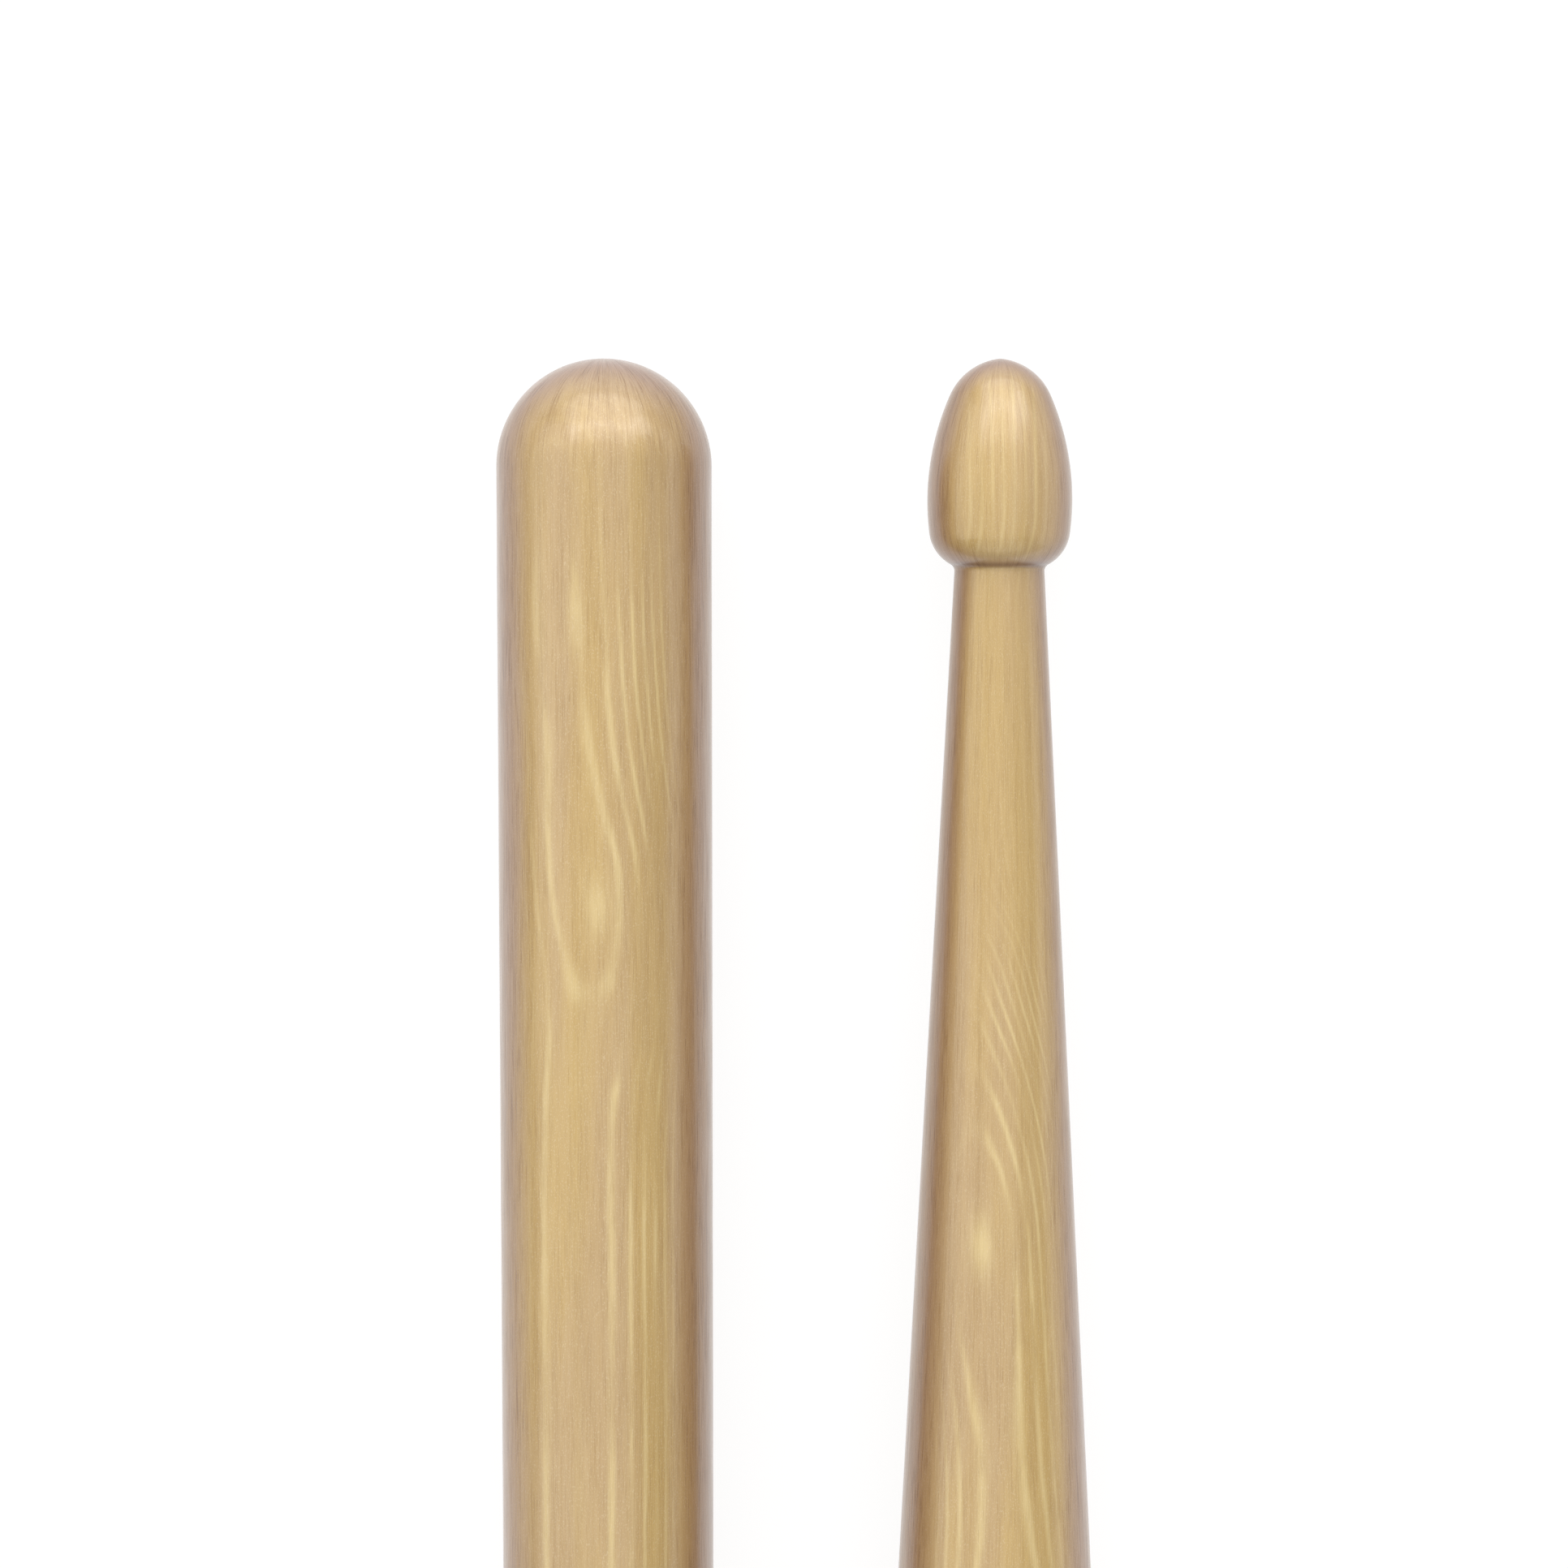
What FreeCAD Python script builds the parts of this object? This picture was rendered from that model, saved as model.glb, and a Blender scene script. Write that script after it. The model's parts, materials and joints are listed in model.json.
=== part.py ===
import FreeCAD, Part
import math
import os
import Sketcher

# A pair of drumsticks lying side by side on a flat surface, one turned end for end.
#
# Each stick is turned in one piece from a hickory dowel. From one end to the other it has
# a full round butt, a straight shaft, a long taper that eases out of the shaft at the
# shoulder, a thin neck, and an acorn-shaped tip. Both sticks are the same turning, so one
# function makes them both, and only their places differ.
#
# Millimetres. +X runs along the sticks, +Y from the right stick to the left one, and +Z up.
# The origin is on the surface that the sticks lie on, midway between them and at mid length.

STICK_SIZES = [
    # alias, value, what it measures
    ("stick_length", 406.4, "butt end to tip end"),
    ("shaft_diameter", 14.35, "the straight shaft, which the full round butt follows"),
    ("shoulder_radius", 200.0, "the long arc that eases the shaft into the taper"),
    ("taper_length", 80.0, "shoulder corner to neck corner, before either is rounded"),
    ("neck_diameter", 5.99, "where the taper meets the underside of the tip"),
    ("neck_fillet", 0.5, "the small hollow between the neck and the tip"),
    ("tip_length", 13.8, "neck corner to the very end of the tip"),
    ("tip_diameter", 9.66, "the tip at its widest section"),
    ("widest_setback", 9.42, "the end of the tip to its widest section"),
    ("side_radius", 17.3, "the long arc of the tip's side"),
    ("base_radius", 2.76, "the round that turns the side in under the tip"),
    ("nose_offset", 0.38, "how far the nose arc is struck across the axis: it leaves a faint point"),
    ("pair_gap", 12.05, "clear space between the two shafts"),
]

ORIGIN_POINT = (-1, 1)
AXIS_LINE = -1
START, END, CENTRE = 1, 2, 3


def make_sheet(doc):
    """The driving dimensions: one named plain number a row."""
    sheet = doc.addObject("Spreadsheet::Sheet", "Sizes")
    for row, (alias, value, meaning) in enumerate(STICK_SIZES, start=1):
        sheet.set(f"A{row}", alias)
        sheet.set(f"B{row}", str(value))
        sheet.set(f"C{row}", meaning)
        sheet.setAlias(f"B{row}", alias)
    doc.recompute()
    return sheet


def towards(point, other, distance):
    """The point at a distance from one point along the straight line to another."""
    way = other - point
    return point + way * (distance / way.Length)


def crossing(centre_a, radius_a, centre_b, radius_b):
    """Where two circles cross, on the left of the way from the first centre to the second."""
    way = centre_b - centre_a
    along = (radius_a**2 - radius_b**2 + way.Length**2) / (2 * way.Length)
    across = math.sqrt(radius_a**2 - along**2)
    left = FreeCAD.Vector(-way.y, way.x, 0)
    return centre_a + way * (along / way.Length) + left * (across / way.Length)


def line(start, end):
    return Part.LineSegment(start, end)


def arc(centre, start, end):
    """The arc about a centre, counterclockwise from one point to the direction of another."""
    circle = Part.Circle(centre, FreeCAD.Vector(0, 0, 1), start.distanceToPoint(centre))
    from_angle, to_angle = (math.atan2(p.y - centre.y, p.x - centre.x) for p in (start, end))
    return Part.ArcOfCircle(circle, from_angle, to_angle)


def rough_outline(sheet):
    """The curves of the half section close to their places, and its two corner points.

    The constraints bring them to their exact places. They only have to start on the right
    side of one another, whatever the sizes, so the rounds under the tip and at its nose
    are found from the arcs that they touch.
    """
    point = FreeCAD.Vector
    shaft, neck = sheet.shaft_diameter / 2, sheet.neck_diameter / 2
    butt_end, tip_end = point(0, 0, 0), point(sheet.stick_length, 0, 0)
    butt_centre, butt_top = point(shaft, 0, 0), point(shaft, shaft, 0)
    neck_corner = point(sheet.stick_length - sheet.tip_length, neck, 0)
    shoulder_corner = point(neck_corner.x - sheet.taper_length, shaft, 0)

    slope = math.atan2(shaft - neck, sheet.taper_length)
    ease = sheet.shoulder_radius * math.tan(slope / 2)
    shoulder_start = shoulder_corner - point(ease, 0, 0)
    shoulder_end = towards(shoulder_corner, neck_corner, ease)
    shoulder_centre = shoulder_start - point(0, sheet.shoulder_radius, 0)

    side_depth = sheet.side_radius - sheet.tip_diameter / 2
    side_centre = tip_end - point(sheet.widest_setback, side_depth, 0)
    inner_radius = sheet.side_radius - sheet.base_radius
    base_centre = crossing(neck_corner, sheet.base_radius, side_centre, inner_radius)
    side_base = towards(side_centre, base_centre, sheet.side_radius)

    nose_rise = side_depth - sheet.nose_offset
    nose_room = sheet.side_radius**2 - sheet.widest_setback**2 - nose_rise**2
    nose_radius = nose_room / (2 * (sheet.side_radius - sheet.widest_setback))
    nose_centre = tip_end - point(nose_radius, sheet.nose_offset, 0)
    side_nose = towards(side_centre, nose_centre, sheet.side_radius)

    fillet_rise = neck + sheet.neck_fillet - base_centre.y
    fillet_run = math.sqrt((sheet.base_radius + sheet.neck_fillet) ** 2 - fillet_rise**2)
    fillet_centre = base_centre + point(-fillet_run, fillet_rise, 0)
    fillet_neck = fillet_centre - point(0, sheet.neck_fillet, 0)
    fillet_base = towards(base_centre, fillet_centre, sheet.base_radius)

    curves = [
        arc(butt_centre, butt_top, butt_end),
        line(butt_top, shoulder_start),
        arc(shoulder_centre, shoulder_end, shoulder_start),
        line(shoulder_end, fillet_neck),
        arc(fillet_centre, fillet_neck, fillet_base),
        arc(base_centre, side_base, fillet_base),
        arc(side_centre, side_nose, side_base),
        arc(nose_centre, tip_end, side_nose),
        line(tip_end, butt_end),
    ]
    return curves, neck_corner, shoulder_corner


def draw_profile(sketch, sheet):
    """Half of the stick's section, from the butt at the sketch's origin to the tip at +X."""
    curves, neck_point, shoulder_point = rough_outline(sheet)
    butt, straight, shoulder, taper, fillet, base, side, nose, axis = sketch.addGeometry(curves)
    neck_corner = sketch.addGeometry(Part.Point(neck_point), True)
    shoulder_corner = sketch.addGeometry(Part.Point(shoulder_point), True)

    joins = [
        ("Tangent", butt, START, straight, START),
        ("Tangent", straight, END, shoulder, END),
        ("Tangent", shoulder, START, taper, START),
        ("Tangent", taper, END, fillet, START),
        ("Tangent", fillet, END, base, END),
        ("Tangent", base, START, side, END),
        ("Tangent", side, START, nose, END),
        ("Coincident", nose, START, axis, START),
        ("Coincident", axis, END, butt, END),
        ("Coincident", butt, END, *ORIGIN_POINT),
        ("Horizontal", straight),
        ("PointOnObject", butt, CENTRE, AXIS_LINE),
        ("PointOnObject", nose, START, AXIS_LINE),
        ("PointOnObject", neck_corner, START, taper),
        ("PointOnObject", neck_corner, START, base),
        ("PointOnObject", shoulder_corner, START, taper),
        ("PointOnObject", shoulder_corner, START, straight),
    ]
    sizes = [
        # name, expression, kind, what it measures
        ("length", "stick_length", "DistanceX", *ORIGIN_POINT, nose, START),
        ("shaft_radius", "shaft_diameter / 2", "DistanceY", *ORIGIN_POINT, straight, START),
        ("shoulder_round", "shoulder_radius", "Radius", shoulder),
        ("taper", "taper_length", "DistanceX", shoulder_corner, START, neck_corner, START),
        ("neck_radius", "neck_diameter / 2", "DistanceY", *ORIGIN_POINT, neck_corner, START),
        ("neck_round", "neck_fillet", "Radius", fillet),
        ("tip", "tip_length", "DistanceX", neck_corner, START, nose, START),
        ("widest", "widest_setback", "DistanceX", side, CENTRE, nose, START),
        ("side_round", "side_radius", "Radius", side),
        ("side_depth", "side_radius - Sizes.tip_diameter / 2",
         "DistanceY", side, CENTRE, *ORIGIN_POINT),
        ("base_round", "base_radius", "Radius", base),
        ("nose_depth", "nose_offset", "DistanceY", nose, CENTRE, *ORIGIN_POINT),
    ]
    constraints = [Sketcher.Constraint(*join) for join in joins]
    for name, expression, *measure in sizes:
        value = sketch.evalExpression(f"Sizes.{expression}")
        constraints.append(Sketcher.Constraint(*measure, value))
    sketch.addConstraint(constraints)
    for index, (name, expression, *measure) in enumerate(sizes, start=len(joins)):
        sketch.renameConstraint(index, name)
        sketch.setExpression(f"Constraints.{name}", f"Sizes.{expression}")


def make_stick(doc, sheet, name):
    """One stick: its half section turned a full circle about its own axis."""
    body = doc.addObject("PartDesign::Body", name)
    body.Label = name
    section = body.newObject("Sketcher::SketchObject", f"{name}_section")
    plane = next(f for f in body.Origin.OriginFeatures if f.Role == "XY_Plane")
    section.AttachmentSupport = (plane, [""])
    section.MapMode = "FlatFace"
    draw_profile(section, sheet)
    doc.recompute()
    turning = body.newObject("PartDesign::Revolution", f"{name}_turning")
    turning.Profile = section
    turning.ReferenceAxis = (section, ["H_Axis"])
    turning.Angle = 360
    body.Tip = turning
    return body


def place(body, end_sign, side_sign):
    """Lays a stick on the surface. end_sign is the way that its tip points along X."""
    half_turn = 0 if end_sign > 0 else 180
    body.Placement = FreeCAD.Placement(
        FreeCAD.Vector(0, 0, 0), FreeCAD.Rotation(FreeCAD.Vector(0, 0, 1), half_turn)
    )
    body.setExpression(".Placement.Base.x", f"{-end_sign} * Sizes.stick_length / 2")
    body.setExpression(
        ".Placement.Base.y", f"{side_sign} * (Sizes.shaft_diameter + Sizes.pair_gap) / 2"
    )
    body.setExpression(".Placement.Base.z", "Sizes.shaft_diameter / 2")


def check(doc, bodies):
    """Stops before anything is written if an object failed or a stick is not one sound solid."""
    for item in doc.Objects:
        if {"Invalid", "Error"} & set(item.State):
            raise RuntimeError(f"{item.Label} failed: {item.State}")
    for body in bodies:
        section = next(o for o in body.Group if o.isDerivedFrom("Sketcher::SketchObject"))
        if not section.FullyConstrained:
            raise RuntimeError(f"{section.Label} is not fully constrained")
        shape = body.Shape
        if shape.isNull() or not shape.isValid() or len(shape.Solids) != 1:
            raise RuntimeError(f"{body.Label} is not one valid solid")


def main():
    doc = FreeCAD.newDocument("drumsticks")
    sheet = make_sheet(doc)
    left = make_stick(doc, sheet, "left_drumstick")
    right = make_stick(doc, sheet, "right_drumstick")
    place(left, end_sign=-1, side_sign=1)
    place(right, end_sign=1, side_sign=-1)
    doc.recompute()
    bodies = [left, right]
    check(doc, bodies)
    os.makedirs("parts", exist_ok=True)
    for body in bodies:
        body.Shape.exportStep(f"parts/{body.Label}.step")
        box = body.Shape.BoundBox
        print(
            f"{body.Label}: {body.Shape.Volume:.1f} mm3, "
            f"x {box.XMin:.2f} to {box.XMax:.2f}, "
            f"y {box.YMin:.2f} to {box.YMax:.2f}, z {box.ZMin:.2f} to {box.ZMax:.2f}"
        )


main()
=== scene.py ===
# %% [markdown]
# # A pair of lacquered hickory drumsticks
#
# A drumstick is one piece of wood. A hickory dowel turns in a lathe while a shaped knife
# cuts the whole outline at once: a round butt, a straight shaft, a long taper, a thin neck
# and an acorn-shaped tip. Then the stick is tumbled in clear lacquer.
#
# This lesson builds the two sticks as turned surfaces, lays them side by side, one turned
# end for end, and gives each its own figured hickory.

# %% Load the frame
import json
import math
import bpy
import numpy as np
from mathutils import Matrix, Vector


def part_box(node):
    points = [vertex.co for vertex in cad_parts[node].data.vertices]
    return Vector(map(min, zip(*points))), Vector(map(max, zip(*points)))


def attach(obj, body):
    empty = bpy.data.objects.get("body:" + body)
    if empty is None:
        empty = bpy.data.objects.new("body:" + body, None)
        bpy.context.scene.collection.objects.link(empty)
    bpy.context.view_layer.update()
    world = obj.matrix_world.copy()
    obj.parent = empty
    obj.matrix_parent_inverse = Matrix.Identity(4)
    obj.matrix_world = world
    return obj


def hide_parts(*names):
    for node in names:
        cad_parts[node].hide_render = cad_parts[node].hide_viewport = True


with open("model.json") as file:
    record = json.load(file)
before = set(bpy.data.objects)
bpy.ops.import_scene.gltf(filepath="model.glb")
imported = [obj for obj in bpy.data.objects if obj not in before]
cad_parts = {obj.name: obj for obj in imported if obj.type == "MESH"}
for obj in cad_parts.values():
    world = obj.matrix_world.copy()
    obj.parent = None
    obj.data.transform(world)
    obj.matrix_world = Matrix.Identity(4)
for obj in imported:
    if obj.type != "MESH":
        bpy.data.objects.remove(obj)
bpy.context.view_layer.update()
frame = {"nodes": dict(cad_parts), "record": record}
MM = 0.001
TO_MM = 1000
print("sticks:", ", ".join(sorted(frame["nodes"])))

# %% [markdown]
# ## The sizes of the turning
#
# The length, the shaft and the place of each stick come from the frame. The rest are the
# sizes that a turner reads off the pattern: where the taper starts and ends, and the three
# arcs that make the tip. All of them are in metres.

# %% Sizes
low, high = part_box("left_drumstick")
shaft_mount = next(m for m in frame["record"]["mounts"] if m["name"] == "left_shaft")
SHAFT_RADIUS = shaft_mount["dims"]["r_mm"] * MM
STICK_LENGTH = high.x - low.x
SHOULDER_RADIUS = 200 * MM
TAPER_LENGTH = 80 * MM
NECK_RADIUS = 2.995 * MM
NECK_FILLET = 0.5 * MM
TIP_LENGTH = 13.8 * MM
TIP_RADIUS = 4.83 * MM
WIDEST_SETBACK = 9.42 * MM
SIDE_ARC = 17.3 * MM
BASE_ARC = 2.76 * MM
NOSE_OFFSET = 0.38 * MM
print(f"stick {STICK_LENGTH / MM:.1f} mm long, shaft {2 * SHAFT_RADIUS / MM:.2f} mm thick")

# %% [markdown]
# ## The outline
#
# The knife's edge is straight lines and arcs that run into each other without a corner, so
# the outline is found the way a draughtsman finds it. Each arc's centre lies where two
# circles or parallel lines cross, and the arcs touch on the line through their centres.
# Points are numpy arrays of distance from the butt and distance from the axis.

# %% Geometry helpers
def point(x, r):
    return np.array([x, r], float)


def towards(start, other, distance):
    """The point at a distance from start, on the straight line to other."""
    way = other - start
    return start + way * (distance / np.linalg.norm(way))


def crossing(a, radius_a, b, radius_b):
    """Where two circles cross, to the left of the way from centre a to centre b.

    The foot of the crossing lies (ra^2 - rb^2 + d^2) / 2d along the way between centres.
    """
    way = b - a
    gap = np.linalg.norm(way)
    foot = (radius_a**2 - radius_b**2 + gap**2) / (2 * gap)
    rise = math.sqrt(radius_a**2 - foot**2)
    return a + way * foot / gap + np.array([-way[1], way[0]]) * rise / gap


def sweep(centre, start, end, steps):
    """Points along the shorter arc about centre, from start to end, evenly by angle."""
    first, last = (math.atan2(p[1] - centre[1], p[0] - centre[0]) for p in (start, end))
    turn = (last - first + math.pi) % (2 * math.pi) - math.pi
    angles = first + turn * np.linspace(0, 1, steps + 1)
    radius = np.linalg.norm(start - centre)
    return centre + radius * np.stack([np.cos(angles), np.sin(angles)], axis=1)


def straight(start, end, steps):
    """Points along the straight line from start to end, evenly spaced."""
    return start + (end - start) * np.linspace(0, 1, steps + 1)[:, None]


# %% [markdown]
# The nose arc has to touch the side arc and also pass through the very end of the tip. That
# gives one quadratic equation for its radius. The hollow at the neck touches the taper and
# the base arc, so its centre is the hollow's radius off the taper line, and the sum of both
# radii from the base arc's centre. The crease is where the hollow meets the base arc.
#
# Each run of the outline ends with how many steps it gets. Round runs get short ones.

# %% The outline of one stick
def stick_outline():
    """Points (distance from butt, radius) from pole to pole, and the crease's distance."""
    butt, end = point(0, 0), point(STICK_LENGTH, 0)
    neck = point(STICK_LENGTH - TIP_LENGTH, NECK_RADIUS)
    corner = point(neck[0] - TAPER_LENGTH, SHAFT_RADIUS)
    slope = math.atan2(SHAFT_RADIUS - NECK_RADIUS, TAPER_LENGTH)
    ease = SHOULDER_RADIUS * math.tan(slope / 2)
    shoulder_start = corner - point(ease, 0)
    shoulder_end = towards(corner, neck, ease)
    shoulder = shoulder_start - point(0, SHOULDER_RADIUS)

    side = end - point(WIDEST_SETBACK, SIDE_ARC - TIP_RADIUS)
    base = crossing(neck, BASE_ARC, side, SIDE_ARC - BASE_ARC)
    side_base = towards(side, base, SIDE_ARC)

    rise = -side[1] - NOSE_OFFSET
    room = SIDE_ARC**2 - WIDEST_SETBACK**2 - rise**2 + NOSE_OFFSET**2
    square = SIDE_ARC**2 - WIDEST_SETBACK**2
    skew = 2 * WIDEST_SETBACK * NOSE_OFFSET
    under_root = (room * SIDE_ARC) ** 2 - square * (room**2 + skew**2)
    nose_arc = (room * SIDE_ARC + math.sqrt(under_root)) / (2 * square)
    nose = end - point(math.sqrt(nose_arc**2 - NOSE_OFFSET**2), NOSE_OFFSET)
    side_nose = towards(side, nose, SIDE_ARC)

    down_taper = np.array([math.cos(slope), -math.sin(slope)])
    off_taper = np.array([math.sin(slope), math.cos(slope)])
    to_base = base - neck
    depth = to_base @ off_taper - NECK_FILLET
    reach = math.sqrt((BASE_ARC + NECK_FILLET) ** 2 - depth**2)
    hollow = base - depth * off_taper - reach * down_taper
    hollow_neck = hollow - NECK_FILLET * off_taper
    hollow_base = towards(base, hollow, BASE_ARC)

    runs = [
        sweep(point(SHAFT_RADIUS, 0), butt, point(SHAFT_RADIUS, SHAFT_RADIUS), 44),
        straight(point(SHAFT_RADIUS, SHAFT_RADIUS), shoulder_start, 75),
        sweep(shoulder, shoulder_start, shoulder_end, 12),
        straight(shoulder_end, hollow_neck, 60),
        sweep(hollow, hollow_neck, hollow_base, 12),
        sweep(base, hollow_base, side_base, 24),
        sweep(side, side_base, side_nose, 34),
        sweep(nose, side_nose, end, 40),
    ]
    outline = np.concatenate([runs[0]] + [run[1:] for run in runs[1:]])
    outline[[0, -1], 1] = 0
    return outline, hollow_base[0]


OUTLINE, CREASE_AT = stick_outline()
crease_mm = (STICK_LENGTH - CREASE_AT) / MM
print(f"outline: {len(OUTLINE)} points, neck crease {crease_mm:.2f} mm from the tip")

# %% [markdown]
# ## The turned surface
#
# The lathe turns the outline about the axis, and so does this function. A point of the
# surface is a function of two numbers: how far along the outline, and the angle round the
# axis. The two poles are single points, each closed with a fan of triangles. Blender's Screw
# modifier could turn the outline too, but here each point has to know more than its place.
#
# Each point also stores its lay: where it would be if the outline were pulled out straight
# along a rod of one thickness. Fine streaks that read the lay follow the rounded ends, as
# sanding and lacquer do, and have no seam. And it stores its facing, the way square to the
# surface, so that the wood can darken where it turns away to the side or the end.

# %% Turn the outline
ROUND_STEPS = 256


def turned_surface(outline, steps):
    """Vertices, faces, lay and facing of the outline turned about its axis.

    A point is (x, r cos a, r sin a). Its lay is (cos a, sin a) on a rod of the shaft's
    radius, and the distance travelled along the outline. It faces square to the outline,
    so where the outline runs (dx, dr), it faces (-dr, dx cos a, dx sin a) over the length.
    """
    rings = outline[1:-1]
    angles = np.arange(steps) * 2 * math.pi / steps
    circle = np.stack([np.cos(angles), np.sin(angles)], axis=1)
    x = np.repeat(rings[:, 0], steps)
    yz = (rings[:, 1, None, None] * circle).reshape(-1, 2)
    ends = np.array([[outline[0, 0], 0, 0], [outline[-1, 0], 0, 0]])
    vertices = np.concatenate([np.column_stack([x, yz]), ends])

    travel = np.concatenate([[0], np.cumsum(np.linalg.norm(np.diff(outline, axis=0), axis=1))])
    rod = np.tile(circle * SHAFT_RADIUS, (len(rings), 1))
    lay = np.column_stack([np.repeat(travel[1:-1], steps), rod])
    lay = np.concatenate([lay, [[travel[0], 0, 0], [travel[-1], 0, 0]]])

    run = outline[2:] - outline[:-2]
    run /= np.linalg.norm(run, axis=1)[:, None]
    outwards = (run[:, 0, None, None] * circle).reshape(-1, 2)
    facing = np.column_stack([np.repeat(-run[:, 1], steps), outwards])
    facing = np.concatenate([facing, [[-1, 0, 0], [1, 0, 0]]])

    ring = np.arange(len(rings) - 1)[:, None] * steps
    here = np.arange(steps)
    after = (here + 1) % steps
    quads = np.stack([ring + here, ring + after, ring + steps + after, ring + steps + here], axis=-1)
    last = (len(rings) - 1) * steps
    butt_pole, tip_pole = len(vertices) - 2, len(vertices) - 1
    butt_fan = np.stack([np.full(steps, butt_pole), after, here], axis=1)
    tip_fan = np.stack([np.full(steps, tip_pole), last + here, last + after], axis=1)
    return vertices, quads.reshape(-1, 4), np.concatenate([butt_fan, tip_fan]), lay, facing


def make_stick(name, body, centre, tip_sign):
    """One stick as a mesh in its place. tip_sign is the way that its tip points along X.

    Turning it end for end is half a turn about the upright: X and Y both change sign.
    """
    vertices, quads, fans, lay, facing = turned_surface(OUTLINE, ROUND_STEPS)
    vertices[:, 0] -= STICK_LENGTH / 2
    vertices[:, :2] *= tip_sign
    vertices += centre
    # The angle runs from +Y to +Z, so these faces look outwards for either way of lying.
    faces = quads.tolist() + fans.tolist()
    mesh = bpy.data.meshes.new(name)
    mesh.from_pydata(vertices.tolist(), [], faces)
    mesh.polygons.foreach_set("use_smooth", np.ones(len(faces), bool))
    for label, values in (("lay", lay), ("facing", facing)):
        store = mesh.attributes.new(label, "FLOAT_VECTOR", "POINT")
        store.data.foreach_set("vector", values.astype(np.float32).ravel())
    mesh.update()
    stick = bpy.data.objects.new(name, mesh)
    bpy.context.scene.collection.objects.link(stick)
    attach(stick, body)
    return stick


def middle(node):
    """The centre of a CAD node's box."""
    low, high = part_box(node)
    return np.array((low + high) / 2)


left_centre, right_centre = middle("left_drumstick"), middle("right_drumstick")
left_stick = make_stick("left_stick_turning", "left_stick", left_centre, -1)
right_stick = make_stick("right_stick_turning", "right_stick", right_centre, 1)
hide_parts("left_drumstick")
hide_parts("right_drumstick")
for stick in (left_stick, right_stick):
    triangles = sum(len(p.vertices) - 2 for p in stick.data.polygons)
    print(f"{stick.name}: {len(stick.data.vertices)} points, {triangles} triangles")

# %% [markdown]
# ## Writing shader maths as formulas
#
# A wood pattern is a formula over the surface. Wiring Math nodes one by one hides it, so a
# small class wraps a node's output, and arithmetic on it adds the Math nodes. Every other
# node comes from one method, which takes its type, its settings and what feeds its inputs.
# A Mix node has its sockets for each type of data, so those for colours go by number.

# %% Signals and finishes
class Signal:
    """A value that varies over a surface. Arithmetic on it adds Math nodes."""

    def __init__(self, finish, socket):
        self.finish = finish
        self.socket = socket

    def math(self, operation, *values):
        return self.finish.node("Math", {"operation": operation}, list(values))

    def __add__(self, other):
        return self.math("ADD", self, other)

    def __radd__(self, other):
        return self.math("ADD", other, self)

    def __sub__(self, other):
        return self.math("SUBTRACT", self, other)

    def __rsub__(self, other):
        return self.math("SUBTRACT", other, self)

    def __mul__(self, other):
        return self.math("MULTIPLY", self, other)

    def __rmul__(self, other):
        return self.math("MULTIPLY", other, self)

    def __truediv__(self, other):
        return self.math("DIVIDE", self, other)

    def __rtruediv__(self, other):
        return self.math("DIVIDE", other, self)

    def __pow__(self, other):
        return self.math("POWER", self, other)

    def apply(self, operation, *values):
        """Any one-input or further-input Math operation, such as COSINE or MAXIMUM."""
        return self.math(operation, self, *values)

    def step(self, start, end, low=0.0, high=1.0):
        """Rises smoothly from low to high as the signal goes from start to end."""
        settings = {"interpolation_type": "SMOOTHSTEP"}
        values = {"Value": self, "From Min": start, "From Max": end, "To Min": low, "To Max": high}
        return self.finish.node("MapRange", settings, values)


MIX_START, MIX_END, MIX_RESULT = 6, 7, 2


class Finish:
    """One material, and the nodes that make it."""

    def __init__(self, name):
        self.material = bpy.data.materials.new(name)
        self.material.use_nodes = True
        self.tree = self.material.node_tree
        self.shader = self.tree.nodes["Principled BSDF"]

    def feed(self, socket, value):
        if isinstance(value, Signal):
            self.tree.links.new(value.socket, socket)
        else:
            socket.default_value = value

    def node(self, kind, settings, values, output=0):
        """Adds a node, such as Math or TexNoise, and returns one of its outputs as a signal."""
        node = self.tree.nodes.new("ShaderNode" + kind)
        for setting, value in settings.items():
            setattr(node, setting, value)
        pairs = values.items() if isinstance(values, dict) else enumerate(values)
        for socket, value in pairs:
            self.feed(node.inputs[socket], value)
        return Signal(self, node.outputs[output])

    def vector(self, x, y, z):
        return self.node("CombineXYZ", {}, [x, y, z])

    def parts(self, vector):
        """The three parts of a vector, each a signal."""
        split = self.tree.nodes.new("ShaderNodeSeparateXYZ")
        self.feed(split.inputs[0], vector)
        return [Signal(self, output) for output in split.outputs]

    def noise(self, where, detail=2.0, roughness=0.5):
        """Smooth noise about 0.5, one feature wide for each unit of where."""
        values = {"Vector": where, "Scale": 1.0, "Detail": detail, "Roughness": roughness}
        return self.node("TexNoise", {"noise_dimensions": "3D"}, values, "Fac")

    def blend(self, factor, start, end):
        """The colour start where factor is 0, and end where it is 1."""
        values = {"Factor": factor, MIX_START: start, MIX_END: end}
        return self.node("Mix", {"data_type": "RGBA"}, values, MIX_RESULT)

    def tint(self, factor, colour, by):
        """The colour multiplied by another, as far as factor says."""
        settings = {"data_type": "RGBA", "blend_type": "MULTIPLY"}
        values = {"Factor": factor, MIX_START: colour, MIX_END: by}
        return self.node("Mix", settings, values, MIX_RESULT)

    def set(self, **constants):
        """Constants on the shader's own sockets: Coat_Roughness=0.1 sets Coat Roughness."""
        for name, value in constants.items():
            self.shader.inputs[name.replace("_", " ")].default_value = value


def rgb(red, green, blue):
    return (red, green, blue, 1.0)


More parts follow.
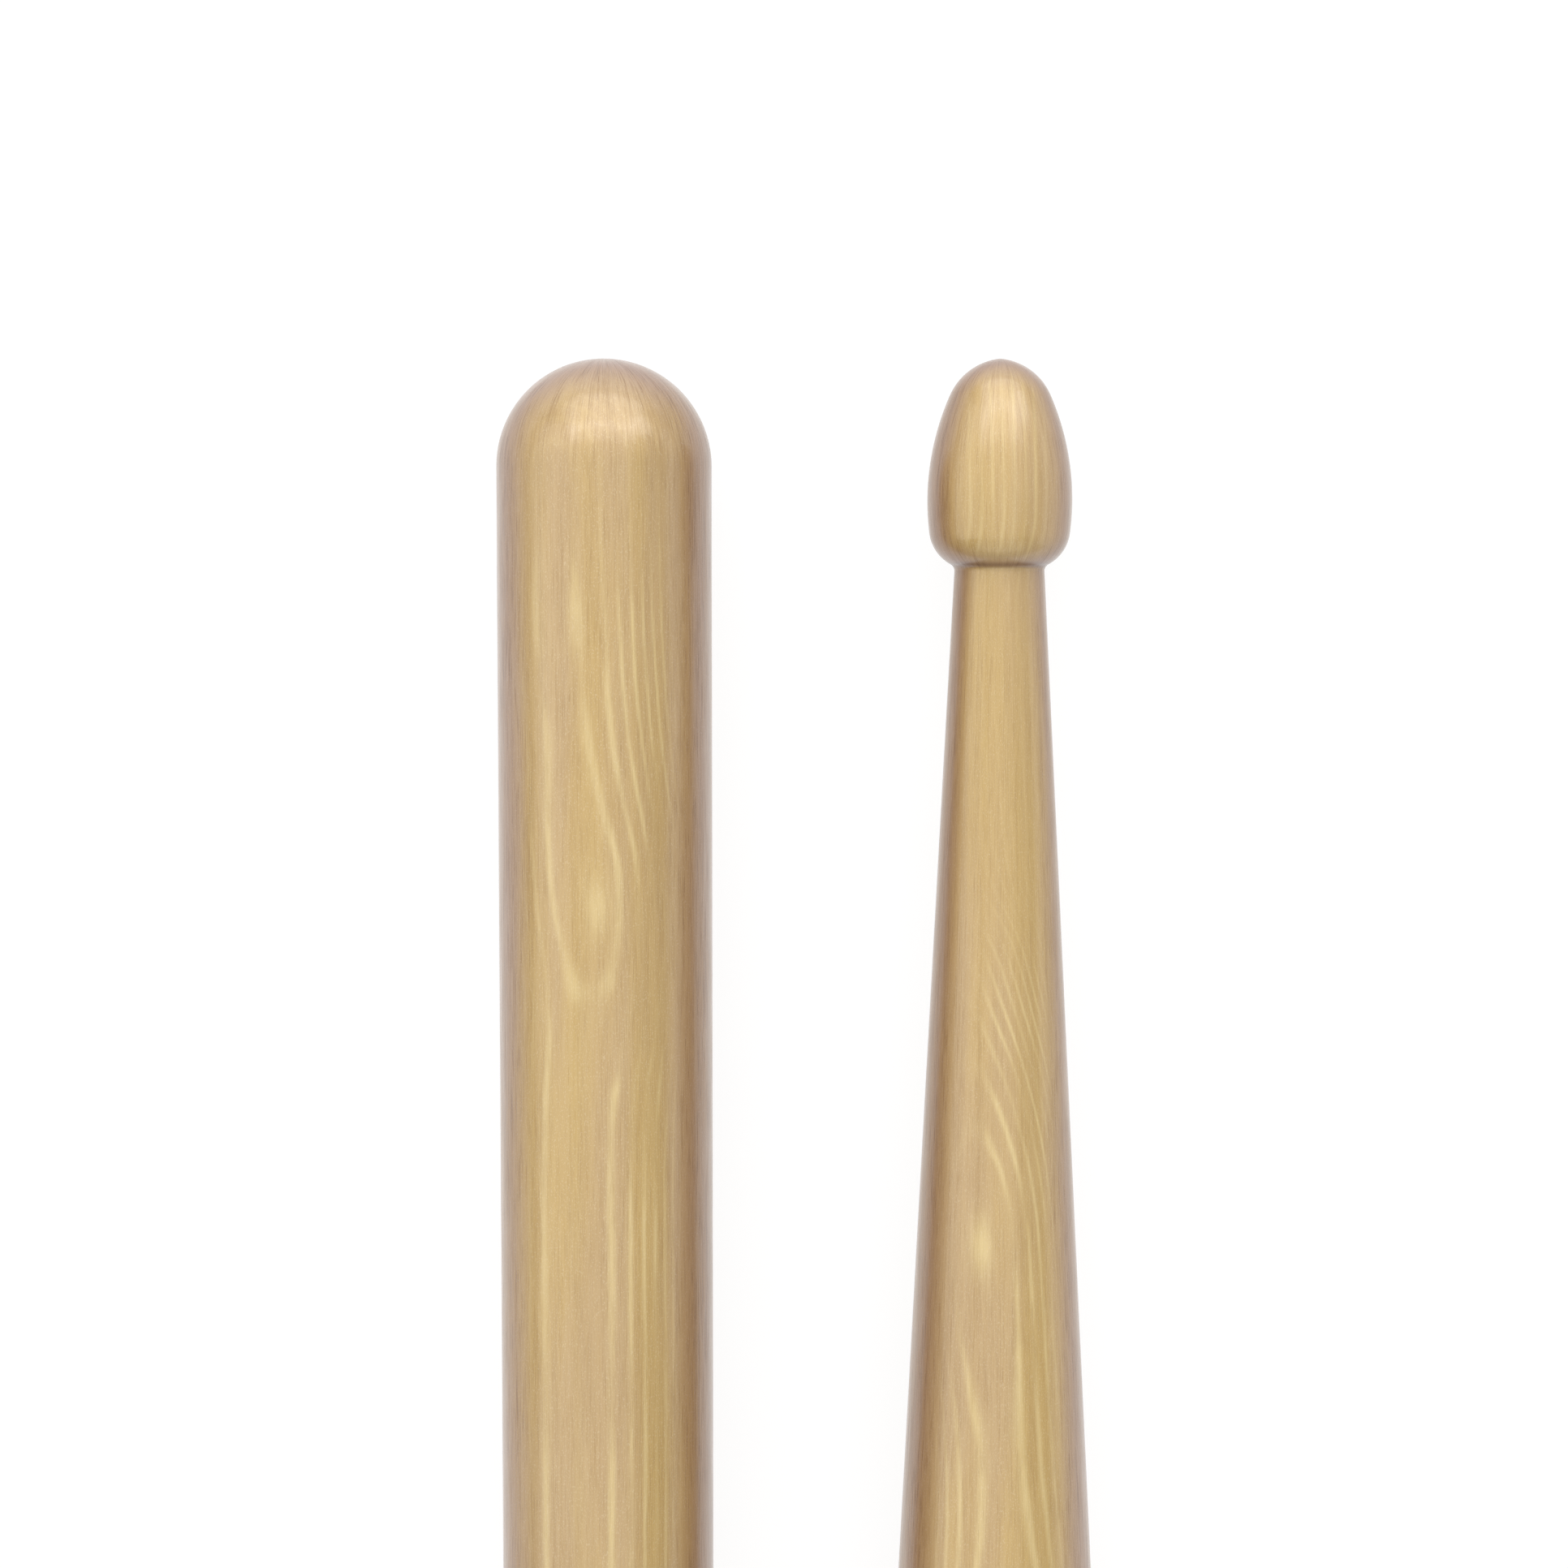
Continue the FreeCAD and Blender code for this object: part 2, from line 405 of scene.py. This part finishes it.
# %% [markdown]
# ## Hickory
#
# A tree grows in rings, and the blank for a stick is sawn so that the rings run the length
# of it, nearly flat. The lathe then cuts through them, as a shore line cuts the heights of
# a hill. A ring shows as a pale line wherever the surface crosses its level.
#
# So the figure is a height: how far each point lies up through the rings. Two things bend
# it. The rings lean a little more to one side or the other along the stick, and they swell
# over a buried knot. Over the swell the lines close into an eye with a pale heart. The lines
# could be painted on instead, but lines cut from one height keep clear of each other and run
# on round the stick, as real ones do.
#
# All the lengths in the figure are in millimetres. Along is measured from the end of the
# stick that points to +X, side towards -Y and up towards +Z, both from the stick's axis. The
# leans are in radians. Each figure says:
#
# - pitch and level: the height from one ring to the next, and that of the eye's own ring
# - lean: how far the rings tip to the side, half way through every slow change
# - leans and lifts: (amount, place, over) of each slow change of the lean and of the height
# - swell: (amount, place, over) of the bulge over the knot
# - heart: (side, along) of the eye's pale heart
# - plain: the stretch (from, to) over which the lines come up out of plain wood
# - quiet: ovals of plain wood, each (side, along, half width, half length)
# - end_lines and end_spread: how strong the lines are on the +X end, and how close together

# %% The figure of each stick
LEFT_FIGURE = {
    "seed": 3.0,
    "pitch": 0.52,
    "level": 7.15,
    "lean": -0.34,
    "leans": [(0.20, 29.5, 11.0), (-0.10, 45.5, 4.5)],
    "lifts": [(-0.16, 29.4, 8.6)],
    "swell": (0.45, 35.2, 7.1),
    "heart": (-0.17, 36.0),
    "plain": (9.0, 18.0),
    "quiet": [(4.0, 38.5, 2.0, 8.5), (0.2, 44.5, 3.0, 3.0)],
    "end_lines": 0.0,
    "end_spread": 1.0,
}
RIGHT_FIGURE = {
    "seed": 11.0,
    "pitch": 0.50,
    "level": 6.82,
    "lean": -0.72,
    "leans": [(0.30, 44.6, 7.1), (0.20, 66.0, 10.2), (0.30, 17.0, 3.0)],
    "lifts": [(0.80, 36.7, 2.5), (-0.19, 46.0, 5.7)],
    "swell": (1.38, 55.9, 13.4),
    "heart": (-1.40, 58.8),
    "plain": (36.0, 46.0),
    "quiet": [(-3.4, 46.0, 2.6, 22.0)],
    "end_lines": 0.6,
    "end_spread": 0.7,
}
for name, figure in (("left", LEFT_FIGURE), ("right", RIGHT_FIGURE)):
    print(f"{name} eye {figure['heart'][1]} mm from the end, rings {figure['pitch']} mm apart")

# %% [markdown]
# The rings are never quite even, so a slow noise makes their height wander. A second noise
# gives each ring its own strength, because some years leave a bold line and others hardly
# one. Even in plain wood a line doesn't vanish: a faint trace of it stays.
#
# The heart is where the lathe just grazes the top of the swell, so it is a soft pale oval and
# not a line. The rest of the stick gets its lines by the same rule, with no eye of its own.

# %% Height, lines and heart
TWO_PI = 2 * math.pi
WANDER = 0.16
LINE_SHARPNESS = 3.4
FAINT_RING = 0.18
PLAIN_TRACE = 0.15
HEART_HALF_WIDTH = 0.75
HEART_HALF_LENGTH = 1.9


def slow_steps(along, start, steps):
    """start, and amount * tanh((along - place) / over) added for each step."""
    total = start
    for amount, place, over in steps:
        total = ((along - place) / over).apply("TANH") * amount + total
    return total


def ring_height(wood, along, side, up, figure):
    """How far each point lies up through the rings.

    It is up * cos(lean) + side * sin(lean) + lift + swell + wander, where the swell is
    amount * exp(-((along - place) / over)^2).
    """
    lean = slow_steps(along, figure["lean"], figure["leans"])
    lift = slow_steps(along, 0.0, figure["lifts"])
    amount, place, over = figure["swell"]
    from_swell = (along - place) / over
    swell = (from_swell * from_swell * -1.0).apply("EXPONENT") * amount
    where = wood.vector(along / 9 + figure["seed"], side / 2.5, up / 2.5)
    wander = (wood.noise(where, 2.0) - 0.5) * WANDER
    return up * lean.apply("COSINE") + side * lean.apply("SINE") + lift + swell + wander


def oval(side, along, centre_side, centre_along, half_width, half_length):
    """0 at an oval's centre and 1 on its edge: (across / half width)^2 + (down / half length)^2."""
    across = (side - centre_side) / half_width
    down = (along - centre_along) / half_length
    return across * across + down * down


def ring_lines(wood, along, side, up, figure):
    """0 to 1: how much each point lies on a pale ring line.

    The phase counts the pitches from the eye's own ring, and a line is
    (cos(2 pi * phase) / 2 + 1/2) to the power that sets its sharpness.
    """
    height = ring_height(wood, along, side, up, figure)
    spread = along.step(10.0, 22.0, figure["end_spread"], 1.0)
    phase = (height - figure["level"]) / figure["pitch"] * spread
    line = ((phase * TWO_PI).apply("COSINE") * 0.5 + 0.5) ** LINE_SHARPNESS

    seed = figure["seed"]
    strength = wood.noise(wood.vector(along / 9 + seed, phase * 0.9, seed), 1.0)
    strength = strength.step(0.34, 0.60, FAINT_RING, 1.0)
    plain_from, plain_to = figure["plain"]
    on_end = along.step(12.0, 15.0, figure["end_lines"], 0.0)
    strength = strength * along.step(plain_from, plain_to, PLAIN_TRACE, 1.0).apply("MAXIMUM", on_end)
    for quiet in figure["quiet"]:
        strength = strength * oval(side, along, *quiet).step(0.4, 1.6, PLAIN_TRACE, 1.0)
    return line * strength


def eye_heart(along, side, up, figure):
    """0 to 1: the eye's pale heart, exp(-oval), on the upper half of the stick alone."""
    distance = oval(side, along, *figure["heart"], HEART_HALF_WIDTH, HEART_HALF_LENGTH)
    return (distance * -1.0).apply("EXPONENT") * up.step(0.0, 3.0)


# %% [markdown]
# The fibres are the texture that the eye takes for wood. They are streaks of noise, long
# along the stick and fine across it, at three sizes, and they lighten and darken the colour,
# tilt the surface a little and change the gloss. The pores are short dark dashes, and the
# specks are painted glints: pale dots for the light that cut fibre ends catch under the lacquer.

# %% Fibres, pores and specks
def fibres(wood, lay, seed):
    """Three sizes of streak as signals about zero, and the masks of pores and specks."""
    travel, rod_y, rod_z = (part * TO_MM for part in wood.parts(lay))

    def streak(length, width, detail):
        """Noise of one feature a length along the stick and a width across it, about zero."""
        where = wood.vector(travel / length + seed, rod_y / width, rod_z / width)
        return wood.noise(where, detail) - 0.5

    broad = streak(14.0, 0.9, 2.0)
    thread = streak(4.0, 0.14, 2.0)
    hair = streak(1.5, 0.06, 1.0)
    pore = (streak(1.6, 0.10, 0.0) + 0.5).step(0.18, 0.28, 1.0, 0.0)
    # Painted glints: pale dots in the colour where cut fibre ends would catch the light.
    speck = (streak(0.12, 0.07, 0.0) + 0.5).step(0.60, 0.75)
    return broad, thread, hair, pore, speck


# %% [markdown]
# ## The colour of the wood
#
# Bare hickory drifts between honey and tan, and everything else is laid over that: the pale
# rings, the browner end grain on the rounded ends, the streaks, the pores and the specks. The
# end grain's tone is only partly the wood's own: it also stands in for the frosty reflection of
# the lacquer on the rounded ends, painted into the colour. The lines are boldest on the crown,
# where the lathe cuts the rings at a slant. On the flanks it cuts them square, so the lines fade
# there. The flanks are also painted darker and a little pinker: that is painted shade where the
# round turns away from the lamps, with a pinkish cast for the lacquer's pale reflection at the
# edges. The streaks stand out more there, partly grain and partly painted streaky gloss.
#
# A thin dark line of painted shade lies in the crease under the tip, where the underside of the
# tip turns away from the light.

# %% Colours
HONEY = rgb(0.485, 0.325, 0.108)
TAN = rgb(0.46, 0.308, 0.132)
PALE_RING = rgb(0.63, 0.48, 0.215)
SHADE = rgb(0.60, 0.51, 0.40)
PAINTED_FLANK_SHADE = rgb(0.63, 0.53, 0.62)
END_GRAIN_AND_HAZE = rgb(0.50, 0.365, 0.235)
PAINTED_GLINT = rgb(0.80, 0.70, 0.52)

RING_STRENGTH = 0.80
HEART_STRENGTH = 0.70
END_GRAIN_AND_HAZE_STRENGTH = 0.6
PORE_STRENGTH = 0.20
PAINTED_GLINT_STRENGTH = 0.14
CREASE_SHADE_STRENGTH = 0.8
CREASE_SHADE_HALF_WIDTH = 0.30


def streaked(wood, colour, fibre, flank, end_on):
    """The colour with the fibres in it: shaded by the streaks and pores, with painted glints at the
    specks.

    The shade is 0.22 less the streaks, and the two fine streaks count for more on the
    flanks and on the ends. On the flanks that extra is painted reflection: it stands in for the
    streaky gloss there.
    """
    broad, thread, hair, pore, speck = fibre
    fine = thread * 0.55 + hair * 0.6
    # On the flanks the stronger streaks are partly grain and partly painted reflection of the
    # streaky gloss.
    shade = 0.22 - broad * 0.6 - fine * (flank * 2.4 + end_on * 1.6 + 1.0)
    colour = wood.tint(shade.step(0.0, 1.0), colour, SHADE)
    colour = wood.tint(pore * PORE_STRENGTH, colour, SHADE)
    return wood.blend(speck * PAINTED_GLINT_STRENGTH, colour, PAINTED_GLINT)


def hickory_colour(wood, along, side, up, tip_sign, figure, fibre):
    """The wood's colour at each point, from bare wood up to the painted shade in the crease."""
    facing = wood.parts(wood.node("Attribute", {"attribute_name": "facing"}, [], "Vector"))
    end_on = facing[0].apply("ABSOLUTE")
    crown = facing[2].apply("ABSOLUTE") + end_on * 0.12
    flank = crown.step(0.88, 0.46)
    line = ring_lines(wood, along, side, up, figure) * crown.step(0.66, 0.92, PLAIN_TRACE, 1.0)
    heart = eye_heart(along, side, up, figure)

    patch = wood.noise(wood.vector(along / 40, side / 4 + figure["seed"], up / 4), 2.0)
    colour = wood.blend(patch.step(0.35, 0.65), HONEY, TAN)
    colour = wood.blend(line * RING_STRENGTH + heart * HEART_STRENGTH, colour, PALE_RING)
    # The end grain tone on the rounded ends is partly the wood's own and partly a painted stand-in
    # for the frosty reflection of the lacquer there.
    colour = wood.blend(end_on.step(0.40, 0.95, 0.0, END_GRAIN_AND_HAZE_STRENGTH), colour, END_GRAIN_AND_HAZE)
    colour = streaked(wood, colour, fibre, flank, end_on)
    # Painted shade: the flanks are tinted darker and a little pinker where the round turns away from
    # the lamps; the pink cast stands in for the lacquer's pale reflection at the edges.
    colour = wood.tint(flank, colour, PAINTED_FLANK_SHADE)

    # Painted shade: a thin dark line in the crease under the tip, where the tip's underside turns
    # away from the light.
    from_butt = along if tip_sign < 0 else STICK_LENGTH / MM - along
    from_crease = (from_butt - CREASE_AT / MM).apply("ABSOLUTE")
    return wood.tint(from_crease.step(CREASE_SHADE_HALF_WIDTH, 0.05) * CREASE_SHADE_STRENGTH, colour, SHADE)


# %% [markdown]
# ## The finish
#
# Satin lacquer over wood shines in two ways. The clear film gives a white gloss, stronger
# towards the edges of the stick. Under it, the cut fibres throw back a broad golden sheen,
# as hair does. The film is the shader's coat. The sheen is a partly metallic base, which
# takes its colour from the wood. The streaks make all of it a little uneven, so that the
# gloss breaks up along the grain.

# %% Lacquered hickory
GRAIN_DEPTH = 0.03 * MM


def lacquered_hickory(name, centre, tip_sign, figure):
    """One stick's finish, for the stick with this centre and this way of lying."""
    wood = Finish(name)
    x, y, z = wood.parts(wood.node("TexCoord", {}, [], "Object"))
    end_x = centre[0] + STICK_LENGTH / 2
    along = (end_x - x) * TO_MM
    side = (centre[1] - y) * TO_MM
    up = (z - centre[2]) * TO_MM
    lay = wood.node("Attribute", {"attribute_name": "lay"}, [], "Vector")
    fibre = fibres(wood, lay, figure["seed"])
    _, thread, hair, pore, _ = fibre

    colour = hickory_colour(wood, along, side, up, tip_sign, figure, fibre)
    grain = {"Strength": 0.6, "Distance": GRAIN_DEPTH, "Height": thread + hair * 0.8}
    sockets = wood.shader.inputs
    wood.feed(sockets["Base Color"], colour)
    wood.feed(sockets["Metallic"], 0.20 + thread * 0.3)
    wood.feed(sockets["Roughness"], 0.42 + hair * 0.2)
    wood.feed(sockets["Coat Weight"], 0.85 + thread * 1.3 - pore * 0.3)
    wood.feed(sockets["Normal"], wood.node("Bump", {}, grain, "Normal"))
    wood.set(IOR=1.5, Coat_Roughness=0.20, Coat_IOR=1.6, Sheen_Weight=0.05, Sheen_Roughness=0.5)
    return wood.material


left_stick.data.materials.append(lacquered_hickory("left_hickory", left_centre, -1, LEFT_FIGURE))
right_stick.data.materials.append(lacquered_hickory("right_hickory", right_centre, 1, RIGHT_FIGURE))
for stick in (left_stick, right_stick):
    material = stick.data.materials[0]
    print(f"{material.name}: {len(material.node_tree.nodes)} nodes")

# %% [markdown]
# ## The light table
#
# The sticks lie on a plain white sheet that glows, as a light table does, so it stays white
# right up to the wood and takes no shadow. The glow dims with the distance from the middle,
# half as fast along the sticks as across them, down to about the grey of the studio, so that
# the far floor doesn't wash out the flanks.

# %% Floor
FLOOR_HALF = 5.0
FLOOR_DROP = 0.02 * MM
GLOW_STRENGTH = 0.87
WHITE_TO, GREY_FROM = 0.10, 1.10
GREY_PART = 0.30
floor_mesh = bpy.data.meshes.new("light_table")
corners = np.array([(-1, -1, 0), (1, -1, 0), (1, 1, 0), (-1, 1, 0)]) * FLOOR_HALF
corners[:, 2] = -FLOOR_DROP
floor_mesh.from_pydata(corners.tolist(), [], [(0, 1, 2, 3)])
floor = bpy.data.objects.new("light_table", floor_mesh)
bpy.context.scene.collection.objects.link(floor)
sheet = Finish("white_sheet")
sheet.set(Base_Color=rgb(0.15, 0.15, 0.15), Roughness=0.9, Specular_IOR_Level=0.0)
x, y, _ = sheet.parts(sheet.node("TexCoord", {}, [], "Object"))
from_middle = (x * x * 0.25 + y * y).apply("SQRT")
glow = from_middle.step(WHITE_TO, GREY_FROM, 1.0, GREY_PART)
sheet.feed(sheet.shader.inputs["Emission Color"], sheet.vector(glow, glow, glow))
sheet.set(Emission_Strength=GLOW_STRENGTH)
floor_mesh.materials.append(sheet.material)
print(f"floor: {2 * FLOOR_HALF:.0f} m square, grey from {GREY_FROM} m to the side")

# %% [markdown]
# ## Soft studio light
#
# Each soft box is a rectangle of even brightness that faces the ends of the sticks. A box is
# placed by its direction from there, its distance and its size, and its power is worked out
# from the brightness wanted: power = brightness * pi * area. Long boxes beside and above the
# sticks draw the long highlights, the boxes past the ends light the round butt and the tip,
# and the small one adds a glint on the right of both.

# %% Lights
AIM = np.array([STICK_LENGTH / 2 - 35 * MM, 0, SHAFT_RADIUS])
STUDIO_GREY = rgb(0.32, 0.32, 0.32)


def soft_box(name, direction, size, brightness, distance=0.9):
    """A rectangular light. The first size runs along the sticks where it can."""
    back = np.array(direction, float)
    back /= np.linalg.norm(back)
    run = np.array([1.0, 0, 0]) - back * back[0]
    run /= np.linalg.norm(run)
    matrix = np.eye(4)
    matrix[:3, :3] = np.stack([run, np.cross(back, run), back], axis=1)
    matrix[:3, 3] = AIM + back * distance
    lamp = bpy.data.lights.new(name, "AREA")
    lamp.shape = "RECTANGLE"
    lamp.size, lamp.size_y = size
    lamp.energy = brightness * math.pi * size[0] * size[1]
    holder = bpy.data.objects.new(name, lamp)
    holder.matrix_world = matrix.T
    bpy.context.scene.collection.objects.link(holder)
    print(f"{name}: {lamp.energy:.2f} W")


soft_box("left_box", (0.12, 0.82, 0.55), (1.2, 0.76), brightness=1.18)
soft_box("top_box", (0.0, 0.0, 1.0), (1.2, 1.04), brightness=0.92)
soft_box("right_box", (0.28, -0.68, 0.68), (1.2, 0.48), brightness=0.40)
soft_box("rim_box", (0.0, -0.98, 0.17), (1.2, 0.30), brightness=0.85)
soft_box("end_box", (0.89, 0.0, 0.45), (0.70, 1.2), brightness=1.90)
soft_box("end_top_box", (0.64, 0.0, 0.77), (0.30, 1.2), brightness=1.85)
soft_box("near_box", (-0.80, 0.0, 0.60), (0.55, 1.2), brightness=0.8)
soft_box("small_box", (0.66, -0.60, 0.445), (0.26, 0.26), brightness=2.2, distance=0.85)

world = bpy.data.worlds.new("studio")
world.use_nodes = True
world.node_tree.nodes["Background"].inputs["Color"].default_value = STUDIO_GREY
bpy.context.scene.world = world

# %% [markdown]
# ## The camera
#
# The camera looks down from close above the ends of the sticks, tipped a few degrees. +X is
# upright in its view, so the sticks run up it side by side, and their other ends are out of
# sight below.

# %% Camera
CAMERA_TILT = math.radians(4.5)
CAMERA_DISTANCE = 234.4 * MM
FOCAL_LENGTH = 80.1
SENSOR_WIDTH = 36
NEAREST_SEEN = 10 * MM
LOOK_AT = np.array([STICK_LENGTH / 2 - 28.4 * MM, 1.2 * MM, SHAFT_RADIUS])
sine, cosine = math.sin(CAMERA_TILT), math.cos(CAMERA_TILT)
camera = bpy.data.objects.new("camera", bpy.data.cameras.new("camera"))
camera.data.lens = FOCAL_LENGTH
camera.data.sensor_width = SENSOR_WIDTH
camera.data.clip_start = NEAREST_SEEN
rightwards, upwards, backwards = (0, -1, 0), (cosine, 0, -sine), (sine, 0, cosine)
pose = np.eye(4)
pose[:3, :3] = np.stack([rightwards, upwards, backwards], axis=1)
pose[:3, 3] = LOOK_AT + CAMERA_DISTANCE * pose[:3, 2]
camera.matrix_world = pose.T
bpy.context.scene.collection.objects.link(camera)
bpy.context.scene.camera = camera
bpy.context.scene.view_settings.view_transform = "Standard"
print("camera at", [round(float(c), 4) for c in pose[:3, 3]])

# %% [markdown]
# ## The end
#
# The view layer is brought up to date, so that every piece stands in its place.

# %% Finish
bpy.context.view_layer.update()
